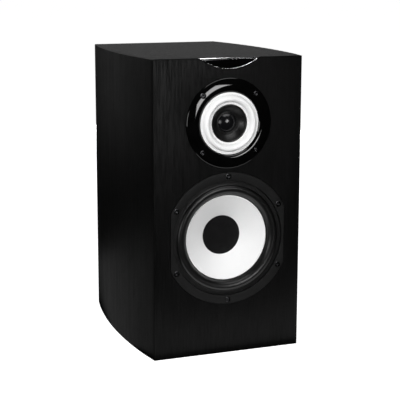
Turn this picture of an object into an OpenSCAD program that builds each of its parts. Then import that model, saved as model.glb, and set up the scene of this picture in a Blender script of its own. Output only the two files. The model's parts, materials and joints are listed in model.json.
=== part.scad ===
// Two-box-high bookshelf loudspeaker: a curved-sided cabinet, a woofer below and a
// coaxial midrange and tweeter above.
// Millimetres. +X is to the right seen from the front, +Y runs from front to rear, +Z is up.
// Depths below are measured from the front face of the cabinet, and the whole part is then
// moved so that the origin is under the middle of its bounding box.

/* [Cabinet] */
// Height of the cabinet
cabinet_h = 390; // [385:1:480]
// Depth of the cabinet, front face to rear face
cabinet_d = 288; // [240:1:350]
// Width of the front face
front_w = 204; // [198:1:250]
// Width of the rear face
rear_w = 186; // [160:1:224]
// How far each side stands out from the straight line between its front and rear edges
side_bulge = 13; // [8:0.5:16]
// Thickness of the front baffle
baffle_t = 22; // [18:0.5:27]
// Thickness of the other panels
panel_t = 16; // [13:0.5:19.5]
// Thickness of the window brace
brace_t = 12; // [9:0.5:14]

/* [Layout] */
// From the top of the cabinet down to the centre of the coaxial driver
coax_drop = 83.5; // [80:0.5:104]
// Gap between the edges of the two drivers
driver_gap = 5.6; // [4:0.2:12]
// From the top of the cabinet down to the centre of the port
port_drop = 92; // [70:1:110]
// From the floor up to the centre of the terminal plate
terminal_z = 92; // [82:1:112]

/* [Woofer] */
// Diameter of the woofer flange
woofer_d = 175; // [145:1:205]
// How much is cut off each side of the flange to make its flats
flange_flat_cut = 8.5; // [6:0.25:9.5]
// Thickness of the flange
flange_t = 4.5; // [4:0.25:5.5]
// How far the flange stands proud of the baffle
flange_proud = 1; // [0.5:0.25:2]
// Foam seal under the flange
seal_t = 1; // [0.8:0.1:1.5]
// From the edge of the flange in to the screw circle
screw_inset = 5.25; // [5:0.25:6]
// Number of flange screws
woofer_screws = 6; // [6:2:8]
// Width of the flange's flat ring, from its edge in to the groove
flange_ring_w = 11.3; // [10.5:0.1:13]
// Groove between the flange ring and the rubber
groove_w = 0.7; // [0.4:0.1:1]
// Width of the rubber's flat outer lip
lip_w = 5; // [4:0.25:6]
// Width of the half roll
roll_w = 13.3; // [11:0.1:15]
// Height of the half roll
roll_h = 6; // [5:0.25:7.2]
// Thickness of the rubber
rubber_t = 0.8; // [0.6:0.1:1]
// Depth of the cone's front rim behind the face of the cabinet
cone_rim_y = 5.7; // [5:0.1:7]
// Depth of the cone itself, rim to neck
cone_depth = 24.3; // [20:0.5:28]
// Thickness of the cone
cone_t = 0.8; // [0.6:0.1:1]
// Diameter of the dust cap
cap_d = 52.4; // [44:0.5:62]
// How far the dust cap domes forward
cap_rise = 6; // [4:0.5:8]
// Outer diameter of the voice coil former
former_d = 33; // [28:0.5:38]
// Diameter of the ferrite magnet
magnet_d = 95; // [86:1:112]
// Thickness of the ferrite magnet
magnet_t = 16; // [13:1:20]
// Furthest the cone moves each way
woofer_stroke = 5; // [4:0.5:5.5]

/* [Coaxial driver] */
// Diameter of the glossy bezel
coax_d = 116.5; // [99:0.5:132]
// How far the bezel's crest stands off the baffle
bezel_h = 5; // [4:0.25:6.5]
// Width of the bezel, from its edge in to the white midrange ring
bezel_w = 18.2; // [16:0.1:19]
// Outer diameter of the tweeter's rim
tweeter_d = 49; // [44:0.5:52]
// How high the midrange ring domes forward of its edges
ring_h = 5; // [4:0.25:6]
// Diameter of the tweeter dome
dome_d = 25; // [20:0.5:27]
// How high the tweeter dome rises
dome_h = 4.6; // [3.5:0.1:5.5]
// From the edge of the bezel in to its screws
coax_screw_inset = 6.5; // [5.5:0.25:7]
// Depth of the sealed chamber behind the coaxial driver
chamber_d = 58; // [50:1:75]

/* [Port] */
// Bore of the port tube
port_d = 48; // [40:1:58]
// Length of the port tube
port_l = 120; // [90:5:150]
// Radius of the port's mouth
mouth_r = 9; // [6:0.5:11]

/* [Terminals] */
// Width of the terminal plate
plate_w = 104; // [88:1:124]
// Height of the terminal plate
plate_h = 66; // [58:1:80]
// Thickness of the terminal plate
plate_t = 3; // [2.5:0.1:4]
// Distance between the two posts
post_pitch = 38; // [32:1:46]
// Diameter of the post
post_d = 8; // [7:0.2:9.6]
// Diameter of the socket for a 4 mm plug
socket_d = 4.1; // [4:0.05:4.3]
// Diameter of each clamping knob
knob_d = 16; // [14:0.5:19]
// Length of each clamping knob
knob_l = 16; // [13:0.5:19]
// How far a knob unscrews
knob_travel = 5; // [4:0.25:6]

/* [Hidden] */

$fn = 96;
side_fn = 256;                     // facets of the large side arcs
fit_gap = 0.4;                     // clearance between a driver and its opening
air_gap = 0.3;                     // least clearance beside a part that moves
arc_steps = 14;                    // facets of a small rounded section

// Plan of the cabinet: each side is one arc through its front and rear edges.
side_dx = (front_w - rear_w) / 2;
side_chord = sqrt(side_dx * side_dx + cabinet_d * cabinet_d);
side_r = (side_chord * side_chord / 4 + side_bulge * side_bulge) / (2 * side_bulge);
arc_x = (front_w + rear_w) / 4 - (side_r - side_bulge) * cabinet_d / side_chord;
arc_y = cabinet_d / 2 - (side_r - side_bulge) * side_dx / side_chord;
inner_front = baffle_t;
inner_rear = cabinet_d - panel_t;

// Heights of the drivers and fittings.
coax_z = cabinet_h - coax_drop;
woofer_z = coax_z - coax_d / 2 - driver_gap - woofer_d / 2;
brace_z = coax_z - coax_d / 2 - driver_gap / 2;
port_z = cabinet_h - port_drop;

// Windows of the brace.
brace_rib = 22;
window_w = min(front_w, rear_w) - 2 * panel_t - 2 * brace_rib;
window_l = (inner_rear - inner_front - 4 * brace_rib) / 3;

// Badge at the top of the baffle: a segment of a disc with its flat side up.
badge_w = 82;
badge_h = 14;
badge_proud = 2.2;
badge_rim_w = 0.9;
badge_top_w = 2;
badge_gap = 0.05;                  // between the plate and its rim
badge_sunk = 0.4;                  // the plate's face behind the rim's
badge_r = (badge_w * badge_w / 4 + badge_h * badge_h) / (2 * badge_h);

// Woofer radii, from the edge of the flange inwards, and its depths.
flange_r = woofer_d / 2;
flange_front = -flange_proud;
flange_back = flange_front + flange_t;
rebate_depth = flange_back + seal_t;
recess_r = flange_r - flange_ring_w;
lip_r = recess_r - groove_w;
roll_out_r = lip_r - lip_w;
roll_in_r = roll_out_r - roll_w;
cone_r = roll_in_r - 1;            // edge of the cone, 1 inside the foot of the roll
cone_flat = 1.2;                   // width of the cone's flat rim
glue_w = 3.5;                      // rubber under the cone's rim
lip_y = 2;                         // front face of the rubber's outer lip
lip_back_y = lip_y + rubber_t;
cone_back_y = cone_rim_y + cone_t;
former_r = former_d / 2;
former_t = 0.3;
neck_y = cone_rim_y + cone_depth;
cone_slope = cone_depth / (cone_r - cone_flat - former_r);
cap_r = cap_d / 2;
basket_r = lip_r - 2;              // outside of the basket behind the flange
basket_wall = 3;
ledge_y = neck_y + woofer_stroke + 7;   // where the spider is glued
ledge_r = cone_r - 9.2;            // outside of the spider, well inside the cone's rim
plate_y = ledge_y + woofer_stroke + 4;  // front of the magnet's front plate
front_plate_t = 6;
magnet_y = plate_y + front_plate_t;
yoke_y = magnet_y + magnet_t;
yoke_t = 6;
lead_r = 0.6;                      // tinsel lead
coil_t = 0.9;
coil_l = 11;
gap_clear = 0.6;                   // between the coil and each side of its gap
window_count = 6;
cut_r = basket_r + fit_gap + 0.6;  // woofer opening in the baffle

// Screws.
screw_r = 1.9;
head_r = 3.5;
head_t = 2.4;
head_recess_r = head_r + 0.3;
socket_af_r = 1.45;
socket_deep = 1.6;
screw_tip_y = baffle_t - 3;        // the drivers' screws stop short of the baffle's back

// Coaxial driver radii and depths. Depths in front of the cabinet's face are negative.
bezel_r = coax_d / 2;
bezel_in_r = bezel_r - bezel_w;
ring_r = bezel_in_r - 0.7;
ring_y = -2.9;                     // front of the ring's outer edge
bezel_crest_r = bezel_in_r + 0.3 * bezel_w;
bezel_edge = 2;                    // height of the bezel's outer edge
bezel_in_y = ring_y + 0.3;         // front of the bezel's inner edge
suspension_t = 0.4;
chassis_flange_r = bezel_r - 1.5;
chassis_t = 3;
coax_bolt_r = bezel_r - coax_screw_inset;
barrel_r = coax_bolt_r - screw_r - 3;
spigot_r = ring_r + 0.5;
spigot_in_r = ring_r - 1;
outer_roll_w = 1.5;
dia_out_r = spigot_in_r - outer_roll_w;
tweeter_r = tweeter_d / 2;
tweeter_body_r = tweeter_r + 1.1;
inner_roll_w = 1.6;
dia_in_r = tweeter_body_r + inner_roll_w;
ring_in_y = -2.5;                  // front of the ring's inner edge
dia_mid_r = (dia_out_r + dia_in_r) / 2;
dia_t = 0.5;
mid_former_r = dia_mid_r;
mid_plate_y = 12;
mid_plate_t = 5;
mid_magnet_t = 12;
mid_yoke_t = 6;
mid_coil_l = 8;
mid_coil_t = 0.7;
chassis_ring_y = mid_plate_y - chassis_t;
chamber_y = mid_plate_y + mid_plate_t;
chamber_wall = 2;
dome_r = dome_d / 2;
dome_y = 4.4;                      // depth of the dome's edge
dome_t = 0.3;
throat_r = dome_r + 1.5;
waveguide_back = 8;
rim_w = 2.4;                       // rounded rim around the waveguide
rim_front = -2.4;

// Rear fittings.
port_wall = 2.5;
port_r = port_d / 2;
port_flange_t = 2.5;
port_flange_r = port_r + mouth_r + 4;
plate_face = cabinet_d + plate_t;
plate_corner_r = 6;
plate_screw_inset = 7;
plate_screw_r = 1.6;
plate_head_r = 3;
collar_t = 3;
collar_r = knob_d / 2 + 0.5;
post_r = post_d / 2;
clamp_y = plate_face + collar_t;   // where the clamping washer bears on the collar
post_l = collar_t + knob_l + knob_travel - 1.5;
socket_l = 15.5;
post_tail = 12;
washer_t = 1.4;
washer_r = knob_d / 2 - 0.8;
wire_hole_r = 1.5;
nut_t = 4;
post_clear = 0.1;                  // round the post, in the plate and the collar
opening_w = plate_w - 34;          // opening in the rear panel behind the plate
opening_h = plate_h - 26;
bore_clear = 0.08;                 // running clearance of washer and knob on the post

// Crossover board, on the floor of the cabinet behind the woofer.
board_w = 110;
board_l = 84;
board_t = 1.6;
board_lift = 7;
board_z = panel_t + board_lift;
board_y = inner_rear - board_l - 18;
standoff_r = 3.5;
standoff_pin_r = 1.9;

// The whole part is moved back so that the origin is under the middle of its bounding box.
front_most = max(bezel_h, ring_h - (ring_y + ring_in_y) / 2);
rear_most = plate_t + post_l;
origin_y = (cabinet_d + rear_most - front_most) / 2;

function lerp(a, b, t) = a + (b - a) * t;
// Points of an elliptical arc around (cx, cy), from angle a0 to a1.
function arc(cx, cy, rx, ry, a0, a1, n = arc_steps) =
  [for (i = [0:n]) let (a = lerp(a0, a1, i / n)) [cx + rx * cos(a), cy + ry * sin(a)]];
// Points of a circular arc that is level at (from, y) and has dropped by drop where it reaches the radius to.
function sagging(from, y, to, drop, places) =
  let (w = abs(to - from), r = (w * w + drop * drop) / (2 * drop))
  [for (i = places) let (t = i / arc_steps) [lerp(from, to, t), y + r - sqrt(r * r - w * w * t * t)]];
// Depth of the cone's front face at radius r.
function cone_y(r) = cone_rim_y + cone_slope * (cone_r - cone_flat - r);
// Cubic Bezier curve.
function bezier(p, n) =
  [for (i = [0:n]) let (t = i / n, s = 1 - t)
    s * s * s * p[0] + 3 * s * s * t * p[1] + 3 * s * t * t * p[2] + t * t * t * p[3]];
function unit(v) = v / norm(v);

// Turns a shape drawn along Z so that it runs from front to rear, centred at height z.
module facing(z, x = 0) translate([x, 0, z]) rotate([-90, 0, 0]) children();
module revolve(points) rotate_extrude() polygon(points);
// A ring from radius r0 to r1, over depths y0 to y1.
module ring(r0, r1, y0, y1) revolve([[r0, y0], [r1, y0], [r1, y1], [r0, y1]]);
module disc(r, y0, y1) translate([0, 0, y0]) cylinder(r = r, h = y1 - y0);
// Repeats a shape n times round the driver's axis at radius r.
module around(n, r, first = 0) for (i = [0:n - 1])
  rotate([0, 0, first + 360 * i / n]) translate([r, 0, 0]) children();

// A tube of radius r along a path, as one closed skin.
module tube(path, r, sides = 8) {
  last = len(path) - 1;
  tangents = [for (i = [0:last]) unit(path[min(i + 1, last)] - path[max(i - 1, 0)])];
  up = [0.03, 0.999, 0.02];
  function side_axis(t) = unit(cross(t, up));
  rings = [for (i = [0:last])
    let (u = side_axis(tangents[i]), v = cross(tangents[i], u))
    [for (k = [0:sides - 1]) path[i] + r * (u * cos(360 * k / sides) + v * sin(360 * k / sides))]];
  points = [for (one = rings) each one];
  walls = [for (i = [0:last - 1]) for (k = [0:sides - 1])
    let (a = i * sides + k, b = i * sides + (k + 1) % sides) each [[a, a + sides, b + sides], [a, b + sides, b]]];
  caps = [[for (k = [0:sides - 1]) k], [for (k = [sides - 1:-1:0]) last * sides + k]];
  polyhedron(points, concat(walls, caps), convexity = 6);
}

// The cabinet's plan between two depths, inset from its outside.
module plan(inset, y0, y1) intersection() {
  translate([arc_x, arc_y]) circle(r = side_r - inset, $fn = side_fn);
  translate([-arc_x, arc_y]) circle(r = side_r - inset, $fn = side_fn);
  translate([-front_w, y0]) square([2 * front_w, y1 - y0]);
}
module slab(inset, y0, y1, z0, z1) translate([0, 0, z0]) linear_extrude(z1 - z0) plan(inset, y0, y1);

// Outline of the woofer flange: a disc with flats, grown by a clearance.
module flange_shape(grow, y0, y1) intersection() {
  disc(flange_r + grow, y0, y1);
  translate([-flange_r + flange_flat_cut - grow, -woofer_d, y0])
    cube([2 * (flange_r - flange_flat_cut + grow), 2 * woofer_d, y1 - y0]);
}
woofer_bolt_r = flange_r - screw_inset;

module front_baffle() color([0.05, 0.05, 0.052]) difference() {
  slab(0, 0, baffle_t, 0, cabinet_h);
  facing(woofer_z) {
    flange_shape(fit_gap, -1, rebate_depth);
    disc(cut_r, -1, baffle_t + 1);
    translate([0, 0, baffle_t - 8]) cylinder(r1 = cut_r, r2 = cut_r + 8, h = 8.01);
    rotate(90) around(woofer_screws, woofer_bolt_r) disc(screw_r, -1, screw_tip_y + 1);
  }
  facing(coax_z) {
    disc(chassis_flange_r + fit_gap, -1, chassis_t);
    disc(barrel_r + fit_gap, -1, baffle_t + 1);
    rotate(45) around(4, coax_bolt_r) disc(screw_r, -1, screw_tip_y + 1);
  }
}

module rear_panel() color([0.05, 0.05, 0.052]) difference() {
  slab(0, inner_rear, cabinet_d, 0, cabinet_h);
  facing(port_z) disc(port_r + port_wall + fit_gap, inner_rear - 1, cabinet_d + 1);
  translate([-opening_w / 2, inner_rear - 1, terminal_z - opening_h / 2]) cube([opening_w, panel_t + 2, opening_h]);
  plate_corners() disc(plate_screw_r, cabinet_d - 12, cabinet_d + 1);
}

module side_panel(x) intersection() {
  difference() {
    slab(0, inner_front, inner_rear, 0, cabinet_h);
    slab(panel_t, inner_front - 1, inner_rear + 1, -1, cabinet_h + 1);
  }
  translate([x < 0 ? -2 * front_w : 0, 0, -1]) cube([2 * front_w, cabinet_d, cabinet_h + 2]);
}
module left_side() color([0.055, 0.055, 0.057]) side_panel(-1);
module right_side() color([0.055, 0.055, 0.057]) side_panel(1);
module top_panel() color([0.06, 0.06, 0.062]) slab(panel_t, inner_front, inner_rear, cabinet_h - panel_t, cabinet_h);
module bottom_panel() color([0.05, 0.05, 0.052]) slab(panel_t, inner_front, inner_rear, 0, panel_t);

// Stiffening shelf between the two drivers, with three windows for the air.
module window_brace() color([0.62, 0.5, 0.36]) difference() {
  slab(panel_t, inner_front, inner_rear, brace_z - brace_t / 2, brace_z + brace_t / 2);
  for (i = [0:2]) translate([-window_w / 2, inner_front + brace_rib + i * (window_l + brace_rib), 0])
    cube([window_w, window_l, cabinet_h]);
}

// A segment of a disc with its flat side up at height z, drawn upright.
module segment(r, h, z, y0, y1) translate([0, y1, 0]) rotate([90, 0, 0]) linear_extrude(y1 - y0) intersection() {
  translate([0, z - h + r]) circle(r = r, $fn = 180);
  translate([-r, z - h - 1]) square([2 * r, h + 1]);
}
// The badge's dark middle, smaller than the badge on every side.
module badge_middle(gap, y0, y1)
  segment(badge_r - badge_rim_w - gap, badge_h - badge_rim_w - badge_top_w - gap,
    cabinet_h - badge_top_w - gap, y0, y1);
module badge_plate() color([0.01, 0.01, 0.012]) badge_middle(badge_gap, badge_sunk - badge_proud, 0);
module badge_rim() color([0.75, 0.76, 0.78]) difference() {
  segment(badge_r, badge_h, cabinet_h, -badge_proud, 0);
  badge_middle(0, -badge_proud - 1, 1);
}
// A cap screw with a hexagon socket, its head's front face at depth 0.
module cap_screw(head_radius, head_height, radius, length) difference() {
  union() {
    disc(head_radius, 0, head_height);
    disc(radius, head_height, length);
  }
  translate([0, 0, -1]) cylinder(r = socket_af_r, h = 1 + socket_deep, $fn = 6);
}
flange_head_y = flange_front + 0.7;
bezel_head_y = -2.9;

module woofer_basket() color([0.09, 0.09, 0.095]) facing(woofer_z) difference() {
  intersection() {
    revolve([
      [recess_r, flange_front], [flange_r, flange_front], [flange_r, flange_back], [basket_r, flange_back],
      [basket_r, flange_back + 5], [ledge_r + basket_wall, ledge_y - 1], [ledge_r + basket_wall, plate_y],
      [former_r + 3.5, plate_y], [former_r + 3.5, plate_y - 3], [ledge_r - 5, plate_y - 3], [ledge_r - 5, ledge_y],
      [ledge_r, ledge_y], [basket_r - basket_wall, flange_back + 4], [basket_r - basket_wall, lip_back_y],
      [recess_r, lip_back_y]
    ]);
    flange_shape(0, flange_front - 1, plate_y + 1);
  }
  rotate(90) around(woofer_screws, woofer_bolt_r) {
    disc(head_recess_r, flange_front - 1, flange_head_y + head_t);
    disc(screw_r + 0.3, flange_front, flange_back + 1);
  }
  around(window_count, 0, 180 / window_count) translate([ledge_r - 22, -17, 14]) cube([flange_r, 34, ledge_y - 17]);
}

module woofer_seal() color([0.03, 0.03, 0.03]) facing(woofer_z) difference() {
  flange_shape(-0.5, flange_back, rebate_depth);
  disc(cut_r, flange_back - 1, rebate_depth + 1);
  rotate(90) around(woofer_screws, woofer_bolt_r) disc(screw_r + 0.3, flange_back - 1, rebate_depth + 1);
}

module woofer_screws() color([0.03, 0.03, 0.03]) facing(woofer_z) rotate(90)
  around(woofer_screws, woofer_bolt_r)
  translate([0, 0, flange_head_y]) cap_screw(head_r, head_t, screw_r, screw_tip_y - flange_head_y);

// The half roll: both faces are half ellipses between the outer lip and the rim of the cone.
module woofer_surround() {
  mid_r = (roll_out_r + roll_in_r) / 2;
  half = roll_w / 2;
  n = 2 * arc_steps;
  function skin(inset, drop) = [for (i = [0:n]) let (t = i / n)
    [mid_r + (half - inset) * cos(180 * t), lerp(lip_y, cone_back_y, t) + drop - roll_h * sin(180 * t)]];
  front = skin(0, 0);
  back = skin(rubber_t * 0.6, rubber_t);
  foot_r = cone_r - glue_w;
  foot_y = cone_y(foot_r) + cone_t;
  inner = cone_r - cone_flat;
  color([0.05, 0.05, 0.052]) facing(woofer_z)
    revolve(concat([[lip_r, lip_y]], front, [[inner, cone_back_y], [foot_r, foot_y], [foot_r, foot_y + rubber_t],
      [inner, cone_back_y + rubber_t]], [for (i = [n:-1:0]) back[i]], [[lip_r, lip_back_y]]));
}

module woofer_cone() color([0.93, 0.93, 0.93]) facing(woofer_z) {
  inner = cone_r - cone_flat;
  revolve([[cone_r, cone_rim_y], [inner, cone_rim_y], [former_r, neck_y], [former_r, neck_y + cone_t],
    [inner, cone_back_y], [cone_r, cone_back_y]]);
}

// Shallow dome whose rim lies on the cone's front face.
module woofer_dust_cap() color([0.04, 0.04, 0.042]) facing(woofer_z) {
  seat = 1.8;
  cap_t = 0.7;
  edge_y = cone_y(cap_r);
  cap_sphere = (cap_r * cap_r + cap_rise * cap_rise) / (2 * cap_rise);
  half_angle = asin(cap_r / cap_sphere);
  centre_y = edge_y - cap_rise + cap_sphere;
  under_r = cap_sphere - cap_t;
  under_angle = asin((cap_r - seat) / under_r);
  revolve(concat(
    [for (i = [0:arc_steps]) let (a = half_angle * i / arc_steps)
      [cap_sphere * sin(a), centre_y - cap_sphere * cos(a)]],
    [[cap_r - seat, cone_y(cap_r - seat)]],
    [for (i = [arc_steps:-1:0]) let (a = under_angle * i / arc_steps)
      [under_r * sin(a), centre_y - under_r * cos(a)]]));
}

// Corrugated cloth disc that centres the coil.
module woofer_spider() {
  in_r = former_r + air_gap;
  out_r = ledge_r - 0.4;
  flat_w = 4;
  waves = 4;
  wave_h = 1.4;
  cloth_t = 0.6;
  steps = 48;
  function wave(r) = r > out_r - flat_w || r < in_r + 1 ? 0
    : wave_h * sin(360 * waves * (r - in_r - 1) / (out_r - flat_w - in_r - 1));
  radii = [for (i = [0:steps]) lerp(in_r, out_r, i / steps)];
  color([0.75, 0.55, 0.25]) facing(woofer_z)
    revolve(concat([for (r = radii) [r, ledge_y - cloth_t + wave(r)]],
      [for (i = [steps:-1:0]) [radii[i], ledge_y + wave(radii[i])]]));
}

module woofer_coil_former() color([0.75, 0.6, 0.35]) facing(woofer_z)
  ring(former_r - former_t, former_r, neck_y - 0.5, plate_y + front_plate_t / 2 + coil_l / 2 + 1);
module woofer_voice_coil() color([0.72, 0.38, 0.18]) facing(woofer_z) {
  gap_y = plate_y + front_plate_t / 2;
  ring(former_r, former_r + coil_t, gap_y - coil_l / 2, gap_y + coil_l / 2);
}
module woofer_front_plate() color([0.6, 0.62, 0.64]) facing(woofer_z)
  ring(former_r + coil_t + gap_clear, magnet_d / 2 - 2.5, plate_y, magnet_y);
module woofer_magnet() color([0.13, 0.13, 0.14]) facing(woofer_z)
  ring(former_r + coil_t + 7, magnet_d / 2, magnet_y, yoke_y);
// Back plate and centre pole in one piece, with a vent down the pole.
module woofer_yoke() color([0.6, 0.62, 0.64]) facing(woofer_z) {
  pole_r = former_r - former_t - gap_clear;
  revolve([[5, plate_y], [pole_r, plate_y], [pole_r, yoke_y], [magnet_d / 2 - 2.5, yoke_y],
    [magnet_d / 2 - 2.5, yoke_y + yoke_t], [5, yoke_y + yoke_t]]);
}

strip_r = ledge_r + basket_wall;
strip_y = ledge_y + 1.5;
strip_t = 2;
tag_gap = 10;                      // from the middle of the strip to each tag
tag_w = 4.8;
tag_t = 0.8;
tag_y = 1;
tag_tip = strip_r + strip_t + 9;
// Two solder tags on a small board, fixed to the outside of the basket.
module woofer_terminal_strip() facing(woofer_z) {
  color([0.45, 0.32, 0.15]) difference() {
    translate([0, -14, strip_y]) cube([strip_r + strip_t, 28, 7]);
    disc(strip_r, strip_y - 1, strip_y + 8);
  }
  color([0.8, 0.78, 0.6]) for (s = [-1, 1]) translate([strip_r + strip_t, s * tag_gap - tag_w / 2, strip_y + tag_y])
    cube([tag_tip - strip_r - strip_t, tag_w, tag_t]);
}
// Braided leads from the strip, through the basket's windows, to the back of the cone.
module woofer_tinsel_leads() color([0.72, 0.45, 0.25]) facing(woofer_z) for (s = [-1, 1]) {
  cone_end_r = former_r + 16;
  start = [strip_r + strip_t + 2.5, s * tag_gap, strip_y + tag_y - lead_r / 2];
  finish = [cone_end_r, s * 9, cone_y(norm([cone_end_r, 9])) + cone_t + 1.5 * lead_r];
  tube(route(start, [2, 6 * s, -12], finish, [12, 9 * s, 6], 14), lead_r, 6);
}

// Domed glossy ring. Its section is one circular arc outside the crest and another inside it.
module coax_bezel() color([0.012, 0.012, 0.014]) facing(coax_z) difference() {
  revolve(concat([[bezel_in_r, 0], [bezel_r, 0]],
    sagging(bezel_crest_r, -bezel_h, bezel_r, bezel_h - bezel_edge, [arc_steps:-1:0]),
    sagging(bezel_crest_r, -bezel_h, bezel_in_r, bezel_h + bezel_in_y, [1:arc_steps])));
  rotate(45) around(4, coax_bolt_r) {
    disc(head_recess_r, -bezel_h - 1, bezel_head_y + head_t);
    disc(screw_r + 0.3, -bezel_h, 1);
  }
}
module coax_screws() color([0.02, 0.02, 0.022]) facing(coax_z) rotate(45)
  around(4, coax_bolt_r)
  translate([0, 0, bezel_head_y]) cap_screw(head_r, head_t, screw_r, screw_tip_y - bezel_head_y);

// Cast frame: a flange under the bezel, a spigot that carries the ring, and a barrel that carries the magnet.
module coax_chassis() color([0.2, 0.2, 0.21]) facing(coax_z) difference() {
  revolve([[spigot_in_r, ring_y + suspension_t], [spigot_r, ring_y + suspension_t], [spigot_r, 0],
    [chassis_flange_r, 0], [chassis_flange_r, chassis_t], [barrel_r, chassis_t], [barrel_r, mid_plate_y],
    [mid_former_r + 3, mid_plate_y], [mid_former_r + 3, chassis_ring_y], [spigot_in_r, chassis_ring_y]]);
  rotate(45) around(4, coax_bolt_r) disc(screw_r + 0.3, -1, chassis_t + 1);
}

// Small half roll between radii r0 and r1 with flat lips out to lip_out and in to lip_in.
module small_roll(r0, y0, r1, y1, height, thick, lip_in, lip_out) {
  n = arc_steps;
  mid_r = (r0 + r1) / 2;
  half = (r1 - r0) / 2;
  front = [for (i = [0:n]) let (t = i / n) [mid_r + half * cos(180 * t), lerp(y1, y0, t) - height * sin(180 * t)]];
  revolve(concat([[lip_out, y1]], front, [[lip_in, y0], [lip_in, y0 + thick]],
    [for (i = [n:-1:0]) front[i] + [0, thick]], [[lip_out, y1 + thick]]));
}
module mid_outer_suspension() color([0.9, 0.9, 0.9]) facing(coax_z)
  small_roll(dia_out_r + 0.3, ring_y, spigot_in_r, ring_y, 0.5, suspension_t, dia_out_r + 0.05, spigot_r);
module mid_inner_suspension() color([0.9, 0.9, 0.9]) facing(coax_z)
  small_roll(tweeter_body_r, ring_in_y, dia_in_r - 0.3, ring_in_y, 0.45, suspension_t,
    tweeter_r + 0.1, dia_in_r - 0.05);
// Ring-shaped dome, driven by a coil under its crest.
module mid_ring_diaphragm() {
  half = (dia_out_r - dia_in_r) / 2;
  n = 2 * arc_steps;
  function skin(drop) = [for (i = [0:n]) let (t = i / n)
    [dia_mid_r + (half - drop) * cos(180 * t), lerp(ring_y, ring_in_y, t) - (ring_h - drop) * sin(180 * t)]];
  back = skin(dia_t);
  color([0.95, 0.95, 0.95]) facing(coax_z) revolve(concat(skin(0), [for (i = [n:-1:0]) back[i]]));
}
module mid_voice_coil() facing(coax_z) {
  under_w = (dia_out_r - dia_in_r) / 2 - dia_t;
  under_h = (ring_h - dia_t) * sqrt(1 - pow(former_t / under_w, 2));   // of the ring's hollow over the former
  top_y = (ring_y + ring_in_y) / 2 - under_h + 0.02;
  coil_y = mid_plate_y + mid_plate_t / 2;
  color([0.8, 0.65, 0.35]) ring(mid_former_r - former_t, mid_former_r, top_y, coil_y + mid_coil_l / 2 + 1);
  color([0.72, 0.38, 0.18])
    ring(mid_former_r, mid_former_r + mid_coil_t, coil_y - mid_coil_l / 2, coil_y + mid_coil_l / 2);
}
module mid_front_plate() color([0.6, 0.62, 0.64]) facing(coax_z)
  ring(mid_former_r + mid_coil_t + gap_clear, barrel_r, mid_plate_y, chamber_y);
module mid_magnet() color([0.13, 0.13, 0.14]) facing(coax_z)
  ring(mid_former_r + 5, barrel_r - chamber_wall - 1, chamber_y, chamber_y + mid_magnet_t);
module mid_yoke() color([0.6, 0.62, 0.64]) facing(coax_z) {
  bore_r = tweeter_body_r + 0.5;
  back_y = chamber_y + mid_magnet_t;
  revolve([[bore_r, mid_plate_y], [mid_former_r - former_t - gap_clear, mid_plate_y],
    [mid_former_r - former_t - gap_clear, back_y], [barrel_r - chamber_wall - 2, back_y],
    [barrel_r - chamber_wall - 2, back_y + mid_yoke_t], [bore_r, back_y + mid_yoke_t]]);
}
module mid_chamber() color([0.06, 0.06, 0.06]) facing(coax_z) {
  back_y = chamber_y + chamber_d;
  difference() {
    revolve([[0, back_y], [0, back_y - chamber_wall], [barrel_r - chamber_wall, back_y - chamber_wall],
      [barrel_r - chamber_wall, chamber_y], [barrel_r, chamber_y], [barrel_r, back_y]]);
    for (i = [0:3]) translate([12 * (i - 1.5), 20, 0]) disc(1.2, back_y - chamber_wall - 1, back_y + 1);
  }
}

// Shallow dish around the dome, with a rounded rim.
module tweeter_waveguide() color([0.03, 0.03, 0.032]) facing(coax_z) {
  rim_in_r = tweeter_r - rim_w;
  revolve(concat([[throat_r, dome_y + 0.4]],
    [for (i = [1:arc_steps]) let (t = i / arc_steps)
      [lerp(throat_r, rim_in_r, t), lerp(dome_y + 0.4, rim_front + 1, pow(t, 1.6))]],
    arc(tweeter_r - rim_w / 2, rim_front + 1, rim_w / 2, -1, 180, 0, 8),
    [[tweeter_r, ring_in_y + suspension_t], [tweeter_body_r, ring_in_y + suspension_t],
      [tweeter_body_r, waveguide_back], [throat_r, waveguide_back]]));
}
module tweeter_suspension() color([0.03, 0.03, 0.03]) facing(coax_z)
  small_roll(dome_r + 0.2, dome_y, throat_r - 0.1, dome_y, 0.4, 0.3, dome_r + 0.05, throat_r + 0.6);
module tweeter_dome() color([0.05, 0.05, 0.055]) facing(coax_z) {
  sphere_r = (dome_r * dome_r + dome_h * dome_h) / (2 * dome_h);
  half_angle = asin(dome_r / sphere_r);
  centre_y = dome_y - dome_h + sphere_r;
  in_r = sphere_r - dome_t;
  revolve(concat(
    [for (i = [0:arc_steps]) let (a = half_angle * i / arc_steps) [sphere_r * sin(a), centre_y - sphere_r * cos(a)]],
    [for (i = [arc_steps:-1:0]) let (a = half_angle * i / arc_steps) [in_r * sin(a), centre_y - in_r * cos(a)]]));
}
tweeter_plate_y = 8;
tweeter_plate_t = 2.5;
tweeter_magnet_t = 5;
tweeter_cup_t = 3;
tweeter_former_r = dome_r - 0.35;
module tweeter_voice_coil() facing(coax_z) {
  color([0.8, 0.65, 0.35])
    ring(tweeter_former_r - 0.15, tweeter_former_r, dome_y + 0.25, tweeter_plate_y + tweeter_plate_t + 1);
  color([0.72, 0.38, 0.18]) ring(tweeter_former_r, tweeter_former_r + 0.4, tweeter_plate_y - 0.4,
    tweeter_plate_y + tweeter_plate_t + 0.4);
}
module tweeter_pole_disc() color([0.6, 0.62, 0.64]) facing(coax_z)
  disc(tweeter_former_r - 0.5, tweeter_plate_y, tweeter_plate_y + tweeter_plate_t);
module tweeter_magnet() color([0.7, 0.71, 0.72]) facing(coax_z) {
  front_y = tweeter_plate_y + tweeter_plate_t;
  disc(tweeter_former_r - 1.2, front_y, front_y + tweeter_magnet_t);
}
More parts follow.
